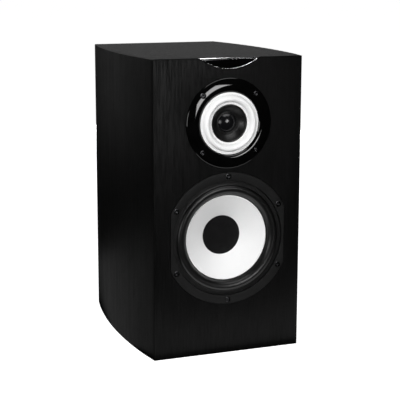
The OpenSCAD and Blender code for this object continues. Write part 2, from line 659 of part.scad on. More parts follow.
module tweeter_cup() color([0.6, 0.62, 0.64]) facing(coax_z) {
  in_r = tweeter_former_r + 0.8;
  floor_y = tweeter_plate_y + tweeter_plate_t + tweeter_magnet_t;
  revolve([[0, floor_y], [in_r, floor_y], [in_r, waveguide_back], [in_r + 4, waveguide_back],
    [in_r + 4, floor_y + tweeter_cup_t], [0, floor_y + tweeter_cup_t]]);
}

// Port: a straight tube with a rounded mouth and a flange against the rear panel.
module port_tube() color([0.03, 0.03, 0.032]) facing(port_z) {
  face = cabinet_d + port_flange_t;
  tube_end = cabinet_d - port_l;
  wall_r = port_r + port_wall;
  revolve(concat([[wall_r, tube_end + 1]], arc(port_r + port_wall / 2, tube_end + 1, port_wall / 2, -1, 0, 180, 6),
    arc(port_r + mouth_r, face - mouth_r, mouth_r, mouth_r, 180, 90, 10),
    [[port_flange_r - 1, face], [port_flange_r, face - 1], [port_flange_r, cabinet_d], [wall_r, cabinet_d]]));
}

// Repeats a shape at the plate's four screws.
module plate_corners() for (sx = [-1, 1]) for (sz = [-1, 1])
  facing(terminal_z + sz * (plate_h / 2 - plate_screw_inset), sx * (plate_w / 2 - plate_screw_inset)) children();
module at_posts(sides = [-1, 1]) for (s = sides) facing(terminal_z, s * post_pitch / 2) children();

module terminal_plate() color([0.035, 0.035, 0.037]) difference() {
  union() {
    for (s = [0, 1]) {
      w = plate_w - s * 2 * plate_corner_r;
      h = plate_h - (1 - s) * 2 * plate_corner_r;
      translate([-w / 2, cabinet_d, terminal_z - h / 2]) cube([w, plate_t, h]);
    }
    for (sx = [-1, 1]) for (sz = [-1, 1])
      facing(terminal_z + sz * (plate_h / 2 - plate_corner_r), sx * (plate_w / 2 - plate_corner_r))
        disc(plate_corner_r, cabinet_d, plate_face);
  }
  plate_corners() disc(plate_screw_r + 0.3, cabinet_d - 1, plate_face + 1);
  at_posts() disc(post_r + post_clear, cabinet_d - 1, plate_face + 1);
}
module terminal_screws() color([0.03, 0.03, 0.03]) plate_corners() difference() {
  union() {
    revolve(concat([[0, plate_face]], [[plate_head_r, plate_face]],
      arc(0, plate_face, plate_head_r, 1.8, 0, 90, 8)));
    disc(plate_screw_r, cabinet_d - 12, plate_face);
  }
  for (a = [0, 90]) rotate(a) translate([-2, -0.4, plate_face + 0.8]) cube([4, 0.8, 2]);
}
// Plated stud: plug socket in its outer end, cross hole for bare wire, tail for the nut.
module post_studs() color([0.83, 0.68, 0.32]) at_posts() difference() {
  disc(post_r, cabinet_d - post_tail, plate_face + post_l);
  disc(socket_d / 2, plate_face + post_l - socket_l, plate_face + post_l + 1);
  translate([0, 0, clamp_y + wire_hole_r + 0.1]) rotate([90, 0, 0])
    cylinder(r = wire_hole_r, h = knob_d, center = true);
}
module post_collars() color([0.08, 0.08, 0.08]) at_posts()
  ring(post_r + post_clear, collar_r, plate_face, plate_face + collar_t);
module post_nuts() color([0.8, 0.78, 0.7]) at_posts() difference() {
  translate([0, 0, cabinet_d - nut_t]) cylinder(r = post_r * 1.75, h = nut_t, $fn = 6);
  disc(post_r, cabinet_d - nut_t - 1, cabinet_d + 1);
}
module clamp_washer(s) at_posts([s]) ring(post_r + bore_clear, washer_r, clamp_y, clamp_y + washer_t);
module knob(s) at_posts([s]) difference() {
  revolve([[post_r + bore_clear, clamp_y + washer_t], [knob_d / 2 - 0.6, clamp_y + washer_t],
    [knob_d / 2, clamp_y + washer_t + 0.6], [knob_d / 2, clamp_y + knob_l - 1.2],
    [knob_d / 2 - 1.2, clamp_y + knob_l], [post_r + bore_clear, clamp_y + knob_l]]);
  around(12, knob_d / 2 + 0.5) disc(1.1, clamp_y + washer_t + 2.4, clamp_y + knob_l + 1);
}
module red_clamp_washer() color([0.83, 0.68, 0.32]) clamp_washer(-1);
module black_clamp_washer() color([0.83, 0.68, 0.32]) clamp_washer(1);
module red_knob() color([0.6, 0.03, 0.03]) knob(-1);
module black_knob() color([0.05, 0.05, 0.05]) knob(1);

// Crossover: board on spacers, with its coils, capacitors and resistors.
module crossover_board() color([0.1, 0.3, 0.14]) difference() {
  translate([-board_w / 2, board_y, board_z]) cube([board_w, board_l, board_t]);
  board_corners() cylinder(r = standoff_pin_r, h = 4 * board_t, center = true);
}
// Snap-in posts, with a head above the board.
module crossover_standoffs() color([0.9, 0.9, 0.86]) board_corners() translate([0, 0, -board_lift]) rotate_extrude()
  polygon([[0, 0], [standoff_r, 0], [standoff_r, board_lift], [standoff_pin_r, board_lift],
    [standoff_pin_r, board_lift + board_t], [standoff_pin_r + 0.7, board_lift + board_t],
    [standoff_pin_r - 0.4, board_lift + board_t + 2.2], [0, board_lift + board_t + 2.2]]);
module board_corners() for (sx = [-1, 1]) for (sy = [0, 1])
  translate([sx * (board_w / 2 - 5), board_y + 5 + sy * (board_l - 10), board_z]) children();
board_top = board_z + board_t;
module crossover_coils() {
  module coil(x, y, r_out, r_in, h) translate([x, board_y + y, board_top])
    rotate_extrude() polygon([[r_in, 0], [r_out, 0], [r_out, h], [r_in, h]]);
  color([0.72, 0.4, 0.18]) {
    coil(-30, 24, 19, 9, 22);
    coil(12, 20, 15, 7, 16);
    coil(-34, 64, 13, 6, 14);
  }
}
module crossover_capacitors() {
  module can(x, y, r, l) translate([x, board_y + y, board_top + r]) rotate([0, 90, 0]) cylinder(r = r, h = l);
  color([0.75, 0.72, 0.3]) {
    can(-14, 46, 8, 36);
    can(-14, 64, 7, 30);
    can(-12, 77.5, 4.5, 22);
    can(32, 64, 6, 18);
  }
}
module crossover_resistors() color([0.9, 0.89, 0.85]) for (i = [0:2])
  translate([34, board_y + 16 + 12 * i, board_top]) cube([16, 6.5, 6.5]);

// Insulated wires between the fittings inside the cabinet, each with a short straight stretch at both ends.
wire_r = 1.1;
stub = 1.5;
function route(a, a_pull, b, b_pull, n) = concat([a],
  bezier([a + stub * unit(a_pull), a + a_pull, b + b_pull, b + stub * unit(b_pull)], n), [b]);
module wire_colour(i) color(i > 0 ? [0.6, 0.05, 0.05] : [0.05, 0.05, 0.05]) children();

module input_wires() for (s = [-1, 1]) wire_colour(-s)
  tube(route([s * post_pitch / 2, cabinet_d - post_tail, terminal_z], [0, -14, 0],
    [s * 40, board_y + board_l - 4, board_top], [0, 0, 26], 16), wire_r, 6);
module woofer_wires() for (s = [-1, 1]) wire_colour(s)
  tube(route([tag_tip, strip_y + tag_y + tag_t / 2, woofer_z + s * tag_gap], [12, 0, 0],
    [52.5, board_y + 30 + 5 * s, board_top], [0, 0, 60], 22), wire_r, 6);
// The midrange's and the tweeter's wires drop through a window of the brace.
module coax_wires() for (i = [0:3]) wire_colour(i % 2) {
  start = [12 * (i - 1.5), chamber_y + chamber_d, coax_z - 20];
  through = [20 + 3.6 * i, inner_front + 2 * brace_rib + 1.3 * window_l, brace_z];
  upper = route(start, [0, 16, 0], through, [0, 0, 30], 10);
  lower = route(through, [0, 0, -50], [-50, board_y + 46 + 5 * i, board_top], [0, 0, 90], 16);
  tube(concat(upper, [for (k = [1:len(lower) - 1]) lower[k]]), wire_r, 6);
}

// Fibre pads on the side walls and under the top.
module damping_wadding() color([0.85, 0.84, 0.8]) {
  pad_t = 18;
  pad_front = inner_front + 70;
  pad_rear = inner_rear - 24;
  for (side = [-1, 1]) intersection() {
    difference() {
      slab(panel_t + 0.3, pad_front, pad_rear, panel_t + 44, brace_z - brace_t / 2 - 6);
      slab(panel_t + pad_t, pad_front - 1, pad_rear + 1, 0, cabinet_h);
    }
    translate([side < 0 ? -2 * front_w : 0, 0, 0]) cube([2 * front_w, cabinet_d, cabinet_h]);
  }
  slab(panel_t + 12, inner_front + 14, inner_rear - 6, cabinet_h - panel_t - pad_t, cabinet_h - panel_t - 0.3);
}

translate([0, -origin_y, 0]) {
  front_baffle();
  rear_panel();
  left_side();
  right_side();
  top_panel();
  bottom_panel();
  window_brace();
  badge_plate();
  badge_rim();
  woofer_basket();
  woofer_seal();
  woofer_screws();
  woofer_surround();
  woofer_cone();
  woofer_dust_cap();
  woofer_spider();
  woofer_coil_former();
  woofer_voice_coil();
  woofer_front_plate();
  woofer_magnet();
  woofer_yoke();
  woofer_terminal_strip();
  woofer_tinsel_leads();
  coax_bezel();
  coax_chassis();
  coax_screws();
  mid_outer_suspension();
  mid_ring_diaphragm();
  mid_inner_suspension();
  mid_voice_coil();
  mid_front_plate();
  mid_magnet();
  mid_yoke();
  mid_chamber();
  tweeter_waveguide();
  tweeter_suspension();
  tweeter_dome();
  tweeter_voice_coil();
  tweeter_pole_disc();
  tweeter_magnet();
  tweeter_cup();
  port_tube();
  terminal_plate();
  terminal_screws();
  post_studs();
  post_collars();
  post_nuts();
  red_clamp_washer();
  red_knob();
  black_clamp_washer();
  black_knob();
  crossover_board();
  crossover_standoffs();
  crossover_coils();
  crossover_capacitors();
  crossover_resistors();
  input_wires();
  woofer_wires();
  coax_wires();
  damping_wadding();
}
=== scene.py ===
"""Looks of a bookshelf loudspeaker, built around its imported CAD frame. Metres; -Y is front, +Z is up."""
import json
import math

import bmesh
import bpy
from mathutils import Matrix, Vector


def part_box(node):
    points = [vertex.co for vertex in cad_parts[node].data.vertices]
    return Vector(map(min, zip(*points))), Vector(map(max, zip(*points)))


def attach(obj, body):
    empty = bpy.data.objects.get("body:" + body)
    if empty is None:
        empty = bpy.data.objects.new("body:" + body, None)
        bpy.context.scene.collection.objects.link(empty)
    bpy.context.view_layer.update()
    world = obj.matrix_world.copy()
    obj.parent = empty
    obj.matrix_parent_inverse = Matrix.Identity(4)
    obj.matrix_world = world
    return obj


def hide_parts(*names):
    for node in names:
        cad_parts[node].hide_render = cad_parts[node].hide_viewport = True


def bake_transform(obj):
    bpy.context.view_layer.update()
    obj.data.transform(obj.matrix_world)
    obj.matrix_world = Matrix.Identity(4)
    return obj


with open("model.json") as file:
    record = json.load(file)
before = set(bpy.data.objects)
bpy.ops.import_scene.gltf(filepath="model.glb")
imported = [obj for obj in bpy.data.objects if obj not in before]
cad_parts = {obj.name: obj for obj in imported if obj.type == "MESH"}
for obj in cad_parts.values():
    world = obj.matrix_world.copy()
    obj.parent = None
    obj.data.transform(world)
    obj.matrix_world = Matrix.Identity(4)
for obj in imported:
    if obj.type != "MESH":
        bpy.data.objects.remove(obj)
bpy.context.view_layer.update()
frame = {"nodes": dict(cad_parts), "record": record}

MM = 0.001
SLOT = {row["node"]: row["material_slot"] for row in frame["record"]["subparts"]}
BODY = {node: body for body, nodes in frame["record"]["behaviour"]["bodies"].items() for node in nodes}


# ---- Places, all from the frame ----

BOX = {name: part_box(name) for name in frame["nodes"]}
FACE = BOX["front_baffle"][0].y                 # front face of the cabinet
REAR = BOX["rear_panel"][1].y
TOP = BOX["front_baffle"][1].z


def axis(node):
    """Where a driver's or the port's axis meets the cabinet's front face."""
    low, high = BOX[node]
    return Vector(((low.x + high.x) / 2, FACE, (low.z + high.z) / 2))


def outer(node):
    """Outer radius of a turned node, in millimetres."""
    low, high = BOX[node]
    return (high.z - low.z) / 2 / MM


def span(node):
    """Front and back of a node, in millimetres behind the cabinet's face."""
    low, high = BOX[node]
    return (low.y - FACE) / MM, (high.y - FACE) / MM


WOOFER = axis("woofer_cone")
COAX = axis("coax_bezel")
PORT = axis("port_tube")


# ---- Camera ----

def add_camera():
    """Stands to the left of the cabinet and above it, and looks down on it with a long lens."""
    data = bpy.data.cameras.new("camera")
    data.sensor_width = 36
    data.lens = 106.9
    camera = bpy.data.objects.new("camera", data)
    camera.location = (-0.5764, FACE - 1.3920, 0.5127)
    camera.rotation_euler = (math.radians(90 - 11.5), math.radians(-0.12), math.radians(-21.08))
    bpy.context.scene.collection.objects.link(camera)
    bpy.context.scene.camera = camera


# ---- Node helpers for the materials ----

class Shader:
    """A Principled material with short calls for the nodes that it needs."""

    def __init__(self, name, **values):
        self.material = bpy.data.materials.new(name)
        self.material.use_nodes = True
        self.tree = self.material.node_tree
        self.surface = self.tree.nodes["Principled BSDF"]
        for socket, value in values.items():
            self.surface.inputs[socket.replace("_", " ")].default_value = value
        self.place = self.tree.nodes.new("ShaderNodeTexCoord").outputs["Object"]

    def node(self, kind, **inputs):
        made = self.tree.nodes.new(kind)
        for socket, value in inputs.items():
            self.feed(made.inputs[socket.replace("_", " ")], value)
        return made

    def feed(self, socket, value):
        if isinstance(value, bpy.types.NodeSocket):
            self.tree.links.new(value, socket)
        else:
            socket.default_value = value

    def stretched(self, scale):
        """The object's own coordinates, scaled along each axis."""
        return self.node("ShaderNodeMapping", Vector=self.place, Scale=scale).outputs["Vector"]

    def noise(self, scale, detail=4, rough=0.55, vector=None, distortion=0):
        made = self.node("ShaderNodeTexNoise", Vector=vector or self.place, Scale=scale, Detail=detail,
                         Roughness=rough, Distortion=distortion)
        return made.outputs["Fac"]

    def ramp(self, value, *stops):
        """stops are (position, colour or grey value)."""
        made = self.node("ShaderNodeValToRGB", Fac=value)
        elements = made.color_ramp.elements
        while len(elements) < len(stops):
            elements.new(0.5)
        for element, (position, colour) in zip(elements, stops):
            element.position = position
            element.color = (colour, colour, colour, 1) if isinstance(colour, float) else (*colour, 1)
        return made.outputs["Color"]

    def range(self, value, low, high, start=0.3, end=0.7):
        made = self.node("ShaderNodeMapRange", Value=value)
        for socket, number in (("From Min", start), ("From Max", end), ("To Min", low), ("To Max", high)):
            made.inputs[socket].default_value = number
        return made.outputs["Result"]

    def math(self, operation, a, b=0.0):
        made = self.tree.nodes.new("ShaderNodeMath")
        made.operation = operation
        self.feed(made.inputs[0], a)
        self.feed(made.inputs[1], b)
        return made.outputs["Value"]

    def colour(self, value):
        self.feed(self.surface.inputs["Base Color"], value)

    def roughness(self, value):
        self.feed(self.surface.inputs["Roughness"], value)

    def bump(self, height, distance, strength=1.0):
        """Each call adds to the bumps before it."""
        made = self.node("ShaderNodeBump", Height=height, Distance=distance, Strength=strength)
        normal = self.surface.inputs["Normal"]
        if normal.is_linked:
            self.tree.links.new(normal.links[0].from_socket, made.inputs["Normal"])
        self.tree.links.new(made.outputs["Normal"], normal)

    def radius(self, centre):
        """Distance from a driver's axis, which runs along Y through centre."""
        parts = self.node("ShaderNodeSeparateXYZ", Vector=self.place)
        x = self.math("SUBTRACT", parts.outputs["X"], centre.x)
        z = self.math("SUBTRACT", parts.outputs["Z"], centre.z)
        squares = self.math("ADD", self.math("MULTIPLY", x, x), self.math("MULTIPLY", z, z))
        return self.math("SQRT", squares)


# ---- Materials ----

def black_ash(name):
    """Black-stained ash: long open pores along the grain, under a satin lacquer."""
    s = Shader(name, Specular_IOR_Level=0.08, IOR=1.48)
    pores = s.noise(1, 6, 0.62, s.stretched((900, 900, 34)))
    streaks = s.noise(1, 3, 0.5, s.stretched((160, 160, 7)))
    fine = s.noise(2600, 2, 0.5)
    s.colour(s.ramp(pores, (0.34, (0.0006, 0.0006, 0.0006)), (0.56, (0.0022, 0.0022, 0.0022)),
                    (0.8, (0.0046, 0.0045, 0.0045))))
    rough = s.math("ADD", s.range(pores, 0.46, 0.34), s.range(streaks, -0.03, 0.03))
    s.roughness(rough)
    s.bump(s.ramp(pores, (0.3, 0.0), (0.5, 1.0)), 0.00014, 0.6)
    s.bump(fine, 0.00002, 0.3)
    return s.material


def powder_coat(name, grey, bump=0.00004):
    """Dark cast metal with a fine pebbled coat."""
    s = Shader(name, Roughness=0.5, Specular_IOR_Level=0.14)
    cells = s.noise(2300, 3, 0.6)
    drift = s.noise(38, 3)
    s.colour(s.ramp(drift, (0.3, grey * 0.85), (0.7, grey * 1.15)))
    s.roughness(s.range(cells, 0.42, 0.6))
    s.bump(cells, bump, 0.6)
    return s.material


def plastic(name, colour, rough, pebble=0.0, scale=1800):
    """Moulded plastic: slight drift of tone and gloss, and a pebbled or smooth skin."""
    s = Shader(name, Specular_IOR_Level=0.5)
    drift = s.noise(55, 3)
    low, high = [tuple(c * f for c in colour) for f in (0.9, 1.1)]
    s.colour(s.ramp(drift, (0.3, low), (0.7, high)))
    smears = s.noise(140, 5, 0.65)
    s.roughness(s.range(smears, rough * 0.85, rough * 1.2))
    if pebble:
        s.bump(s.noise(scale, 2), pebble, 0.5)
    return s.material


def mirror_lacquer(name):
    """Piano-black moulding: almost a mirror, with the faintest waviness."""
    s = Shader(name, Specular_IOR_Level=0.5, IOR=1.5)
    s.colour(s.ramp(s.noise(60, 2), (0.3, 0.0008), (0.7, 0.0016)))
    s.roughness(s.range(s.noise(210, 5, 0.6), 0.035, 0.075))
    s.bump(s.noise(70, 2), 0.00001, 0.25)
    return s.material


def rubber(name, grey):
    """Satin butyl rubber with a faint bloom."""
    s = Shader(name, Specular_IOR_Level=0.42)
    s.colour(s.ramp(s.noise(90, 4), (0.3, grey * 0.8), (0.72, grey * 1.3)))
    s.roughness(s.range(s.noise(420, 4), 0.28, 0.38))
    s.bump(s.noise(3200, 2), 0.000012, 0.4)
    return s.material


def coated_paper(name, white, centre):
    """White coated cone: pulp fibres, a little mottling, and faint turning marks."""
    s = Shader(name, Specular_IOR_Level=0.35)
    fibres = s.noise(950, 6, 0.7, distortion=0.6)
    mottle = s.noise(46, 4)
    turning = s.math("SINE", s.math("MULTIPLY", s.radius(centre), 2 * math.pi / (1.6 * MM)))
    tone = s.math("ADD", s.range(fibres, -0.03, 0.015), s.range(mottle, -0.012, 0.012))
    s.colour(s.ramp(s.math("ADD", tone, 0.5), (0.4, (white * 0.86, white * 0.86, white * 0.87)),
                    (0.5, (white, white, white)), (0.6, (white * 1.04, white * 1.04, white * 1.04))))
    s.roughness(s.range(fibres, 0.62, 0.5))
    s.bump(fibres, 0.00003, 0.5)
    s.bump(turning, 0.000012, 0.5)
    return s.material


def white_skin(name, white, rough):
    """Smooth white film or rubber, satin."""
    s = Shader(name, Specular_IOR_Level=0.5)
    s.colour(s.ramp(s.noise(120, 4), (0.3, white * 0.97), (0.7, white)))
    s.roughness(s.range(s.noise(600, 3), rough, rough * 1.25))
    s.bump(s.noise(1400, 2), 0.000008, 0.35)
    return s.material


def woven(name, colour, pitch):
    """Plain-weave cloth whose threads run along X and Z, stiffened with resin or dope."""
    s = Shader(name, Specular_IOR_Level=0.12, Sheen_Weight=0.03)
    parts = s.node("ShaderNodeSeparateXYZ", Vector=s.place)
    threads = [s.math("SINE", s.math("MULTIPLY", parts.outputs[axis], math.pi / pitch)) for axis in "XZ"]
    weave = s.math("MULTIPLY", *threads)
    drift = s.noise(160, 3)
    low, high = [tuple(c * f for c in colour) for f in (0.7, 1.25)]
    tone = s.math("ADD", s.range(weave, 0.3, 0.7, -1, 1), s.range(drift, -0.1, 0.1))
    s.colour(s.ramp(tone, (0.2, low), (0.8, high)))
    s.roughness(s.range(drift, 0.62, 0.8))
    s.bump(weave, 0.00005, 0.6)
    return s.material


def metal(name, colour, rough, centre=None, pitch=0.7 * MM):
    """Metal with fine machining marks: rings round centre, or a brushed grain along X."""
    s = Shader(name, Metallic=1.0)
    low, high = [tuple(c * f for c in colour) for f in (0.9, 1.0)]
    s.colour(s.ramp(s.noise(80, 4), (0.3, low), (0.7, high)))
    if centre is None:
        marks = s.noise(1, 3, 0.5, s.stretched((60, 1800, 1800)))
    else:
        marks = s.math("SINE", s.math("MULTIPLY", s.radius(centre), 2 * math.pi / pitch))
    s.roughness(s.range(marks, rough * 0.8, rough * 1.25, -1 if centre else 0.3, 1 if centre else 0.7))
    s.bump(marks, 0.00001, 0.4)
    return s.material


def grainy(name, colour, rough, scale, depth):
    """Sintered, foamed or cast surfaces: a speckle of tone over an uneven skin."""
    s = Shader(name, Specular_IOR_Level=0.4)
    speckle = s.noise(scale, 5, 0.7)
    low, high = [tuple(c * f for c in colour) for f in (0.6, 1.35)]
    s.colour(s.ramp(speckle, (0.32, low), (0.68, high)))
    s.roughness(s.range(speckle, rough, min(1, rough * 1.2)))
    s.bump(speckle, depth, 0.7)
    return s.material


def windings(name, colour):
    """Enamelled wire, wound in close turns that run round the Y axis."""
    s = Shader(name, Metallic=0.85)
    parts = s.node("ShaderNodeSeparateXYZ", Vector=s.place)
    along = s.math("ADD", parts.outputs["Y"], parts.outputs["Z"])
    turns = s.math("SINE", s.math("MULTIPLY", along, 2 * math.pi / (0.6 * MM)))
    low, high = [tuple(c * f for c in colour) for f in (0.55, 1.05)]
    s.colour(s.ramp(s.range(turns, 0, 1, -1, 1), (0.1, low), (0.7, high)))
    s.roughness(s.range(s.noise(300, 2), 0.25, 0.4))
    s.bump(turns, 0.00008, 0.6)
    return s.material


def make_materials():
    """One material for each slot of the record."""
    veneer = black_ash("black_ash")
    return {
        "black_ash": veneer,
        "black_ash_top": veneer,
        "brace_board": grainy("brace_board", (0.42, 0.31, 0.2), 0.75, 700, 0.00012),
        "badge_gloss": mirror_lacquer("badge_gloss"),
        "bright_metal": metal("bright_metal", (0.86, 0.86, 0.88), 0.16),
        "cast_dark": powder_coat("cast_dark", 0.005),
        "cast_plain": powder_coat("cast_plain", 0.2),
        "foam": grainy("foam", (0.012, 0.012, 0.012), 0.9, 1500, 0.0002),
        "black_screw": metal("black_screw", (0.04, 0.04, 0.042), 0.24),
        "roll_rubber": rubber("roll_rubber", 0.002),
        "white_cone": coated_paper("white_cone", 0.8, WOOFER),
        "white_ring": white_skin("white_ring", 0.86, 0.34),
        "white_roll": white_skin("white_roll", 0.8, 0.42),
        "cap_fabric": woven("cap_fabric", (0.002, 0.002, 0.0021), 0.55 * MM),
        "spider_cloth": woven("spider_cloth", (0.5, 0.34, 0.13), 0.7 * MM),
        "former": plastic("former", (0.5, 0.33, 0.12), 0.25),
        "copper": windings("copper", (0.72, 0.34, 0.14)),
        "steel": metal("steel", (0.58, 0.58, 0.6), 0.28, WOOFER),
        "ferrite": grainy("ferrite", (0.035, 0.035, 0.038), 0.62, 1100, 0.00008),
        "neodymium": metal("neodymium", (0.78, 0.77, 0.74), 0.15, COAX),
        "phenolic": plastic("phenolic", (0.24, 0.12, 0.05), 0.45, 0.00003),
        "bezel_gloss": mirror_lacquer("bezel_gloss"),
        "horn_gloss": plastic("horn_gloss", (0.0035, 0.0034, 0.0034), 0.3),
        "dome": plastic("dome", (0.004, 0.004, 0.0045), 0.16),
        "black_moulding": plastic("black_moulding", (0.011, 0.011, 0.0112), 0.42, 0.00006),
        "gold": metal("gold", (0.88, 0.66, 0.28), 0.18),
        "red_plastic": plastic("red_plastic", (0.42, 0.008, 0.008), 0.22),
        "black_plastic": plastic("black_plastic", (0.008, 0.008, 0.0082), 0.22),
        "board_green": plastic("board_green", (0.02, 0.11, 0.03), 0.35),
        "nylon": plastic("nylon", (0.7, 0.7, 0.64), 0.45),
        "film_yellow": plastic("film_yellow", (0.62, 0.46, 0.05), 0.28),
        "ceramic": grainy("ceramic", (0.62, 0.6, 0.55), 0.8, 900, 0.00008),
        "wire": plastic("wire", (0.3, 0.012, 0.012), 0.35),
        "black_wire": plastic("black_wire", (0.01, 0.01, 0.01), 0.35),
        "wadding": grainy("wadding", (0.6, 0.59, 0.55), 0.95, 260, 0.0012),
    }


# ---- Mesh helpers ----

def new_object(name, mesh):
    made = bpy.data.objects.new(name, mesh)
    bpy.context.scene.collection.objects.link(made)
    return made


def finish_mesh(bm, name, angle=32):
    """Welds, faces outwards and shades smooth except across sharp edges."""
    bmesh.ops.remove_doubles(bm, verts=bm.verts, dist=0.004 * MM)
    bmesh.ops.recalc_face_normals(bm, faces=bm.faces)
    for face in bm.faces:
        face.smooth = True
    for edge in bm.edges:
        edge.smooth = not edge.is_manifold or edge.calc_face_angle(0) < math.radians(angle)
    mesh = bpy.data.meshes.new(name)
    bm.to_mesh(mesh)
    bm.free()
    return new_object(name, mesh)


def lathe(name, profile, centre, steps=180, angle=32):
    """Turns a closed outline of (radius, depth) points in millimetres about a driver's axis.

    Depth runs back from the cabinet's face."""
    bm = bmesh.new()
    rings = []
    for radius, depth in profile:
        count = 1 if radius < 1e-6 else steps
        turns = [2 * math.pi * i / count for i in range(count)]
        rings.append([bm.verts.new((centre.x + radius * MM * math.cos(a), centre.y + depth * MM,
                                    centre.z + radius * MM * math.sin(a))) for a in turns])
    for one, other in zip(rings, rings[1:] + rings[:1]):
        for i in range(steps):
            corners = [one[i % len(one)], one[(i + 1) % len(one)]]
            corners += [other[(i + 1) % len(other)], other[i % len(other)]]
            unique = list(dict.fromkeys(corners))
            if len(unique) > 2:
                bm.faces.new(unique)
    return finish_mesh(bm, name, angle)


def arc(cx, cy, rx, ry, start, end, count):
    """Points of an elliptical arc, angles in degrees."""
    turns = [math.radians(start + (end - start) * i / count) for i in range(count + 1)]
    return [(cx + rx * math.cos(a), cy + ry * math.sin(a)) for a in turns]


def mix(a, b, t):
    return a + (b - a) * t


def rounded(outline, radius, count=3):
    """The closed outline with each of its corners rounded, as far as its neighbours leave room."""
    points = [Vector(p) for p in outline]
    made = []
    for i, corner in enumerate(points):
        before = points[i - 1] - corner
        after = points[(i + 1) % len(points)] - corner
        if before.length < 1e-6 or after.length < 1e-6:
            continue
        cut = min(radius, before.length * 0.45, after.length * 0.45)
        if corner.x < 1e-6 or before.angle(after) > math.radians(160):
            made.append(tuple(corner))
            continue
        first = corner + before.normalized() * cut
        last = corner + after.normalized() * cut
        for k in range(count + 1):
            t = k / count
            made.append(tuple(first.lerp(corner, t).lerp(corner.lerp(last, t), t)))
    return made


def softened(line, spacing=0.5, passes=3):
    """An open line of points, spaced evenly and with its creases eased."""
    points = [Vector(p) for p in line]
    dense = [points[0]]
    for a, b in zip(points, points[1:]):
        count = max(1, round((b - a).length / spacing))
        dense += [a.lerp(b, (k + 1) / count) for k in range(count)]
    for _ in range(passes):
        middle = [(a + 2 * b + c) / 4 for a, b, c in zip(dense, dense[1:], dense[2:])]
        dense = [dense[0]] + middle + [dense[-1]]
    return [tuple(p) for p in dense]


def refined(node, name, width, chosen=None, segments=2, angle=32):
    """A copy of a CAD node's mesh, welded into clean faces, with its sharp or chosen edges rounded."""
    bm = bmesh.new()
    bm.from_mesh(frame["nodes"][node].data)
    bmesh.ops.remove_doubles(bm, verts=bm.verts, dist=0.002 * MM)
    bmesh.ops.dissolve_limit(bm, angle_limit=math.radians(0.4), verts=bm.verts, edges=bm.edges)
    edges = [e for e in bm.edges if e.is_manifold and e.calc_face_angle(0) > math.radians(30)]
    edges = [e for e in edges if chosen is None or chosen(e)]
    bmesh.ops.bevel(bm, geom=edges, offset=width * MM, segments=segments, profile=0.5, affect="EDGES",
                    clamp_overlap=True)
    return finish_mesh(bm, name, angle)


def carve(piece, cutters):
    """Cuts the cutters out of the piece and throws them away."""
    for cutter in cutters:
        cut = piece.modifiers.new("cut", "BOOLEAN")
        cut.operation = "DIFFERENCE"
        cut.solver = "EXACT"
        cut.object = cutter
    graph = bpy.context.evaluated_depsgraph_get()
    result = bpy.data.meshes.new_from_object(piece.evaluated_get(graph))
    name = piece.name
    for old in [piece, *cutters]:
        bpy.data.objects.remove(old)
    bm = bmesh.new()
    bm.from_mesh(result)
    return finish_mesh(bm, name)


def around(count, radius, centre, first):
    """Places evenly round a driver's axis, the first at an angle in degrees from +X."""
    turns = [math.radians(first + 360 * i / count) for i in range(count)]
    reach = radius * MM
    return [centre + Vector((reach * math.cos(a), 0, reach * math.sin(a))) for a in turns]


def box_mesh(name, low, high):
    bm = bmesh.new()
    bmesh.ops.create_cube(bm, size=1)
    for vertex in bm.verts:
        vertex.co = Vector([mix(a, b, c + 0.5) for a, b, c in zip(low, high, vertex.co)])
    return finish_mesh(bm, name)


def stands_for(piece, *nodes):
    """The piece takes its CAD nodes' place, body, slot and material."""
    if not piece.data.materials:
        piece.data.materials.append(MATERIALS[SLOT[nodes[0]]])
    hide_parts(*nodes)
    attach(piece, BODY[nodes[0]])
    return piece


def in_lumps(node, name, paints, choose):
    """A copy of a CAD node whose separate lumps take different materials, picked by each lump's middle."""
    bm = bmesh.new()
    bm.from_mesh(frame["nodes"][node].data)
    bmesh.ops.remove_doubles(bm, verts=bm.verts, dist=0.002 * MM)
    left = set(bm.faces)
    while left:
        lump, edge = set(), [left.pop()]
        while edge:
            face = edge.pop()
            lump.add(face)
            fresh = [f for e in face.edges for f in e.link_faces if f in left]
            left.difference_update(fresh)
            edge += fresh
        centre = sum((f.calc_center_median() for f in lump), Vector()) / len(lump)
        for face in lump:
            face.material_index = choose(centre)
    piece = finish_mesh(bm, name)
    for paint in paints:
        piece.data.materials.append(paint)
    return stands_for(piece, node)


def stretches(piece, node, centre):
    """A ring of soft suspension: it takes its CAD node's material, and the CAD node is hidden. The points
    are laid out along X by their radius, and then put back."""
    piece.data.materials.append(MATERIALS[SLOT[node]])
    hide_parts(node)
    places = [v.co.copy() for v in piece.data.vertices]
    for vertex, place in zip(piece.data.vertices, places):
        vertex.co = (math.hypot(place.x - centre.x, place.z - centre.z), 0, 0)
    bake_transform(piece)
    for vertex, place in zip(piece.data.vertices, places):
        vertex.co = place
    return piece


MATERIALS = make_materials()


# ---- Cabinet ----

EDGE = 0.9                                       # rounding of the cabinet's outer edges, in millimetres


def build_cabinet():
    near = 0.02 * MM
    side = BOX["front_baffle"][1].x * 0.86

    def outer_edge(edge):
        """True along the outline of the cabinet's front and rear faces, and of its top and bottom."""
        ends = [v.co for v in edge.verts]
        on_face = any(all(abs(p.y - y) < near for p in ends) for y in (FACE, REAR))
        on_end = any(all(abs(p.z - z) < near for p in ends) for z in (0, TOP))
        on_side = all(abs(p.x) > side for p in ends)
        return (on_face and (on_side or on_end)) or (on_end and on_side)

    for node in ("front_baffle", "rear_panel", "left_side", "right_side"):
        stands_for(refined(node, node + "_veneered", EDGE, outer_edge, 3), node)


def build_badge():
    stands_for(refined("badge_plate", "badge_face", 0.25), "badge_plate")
    stands_for(refined("badge_rim", "badge_bright_rim", 0.2), "badge_rim")


# ---- Woofer ----

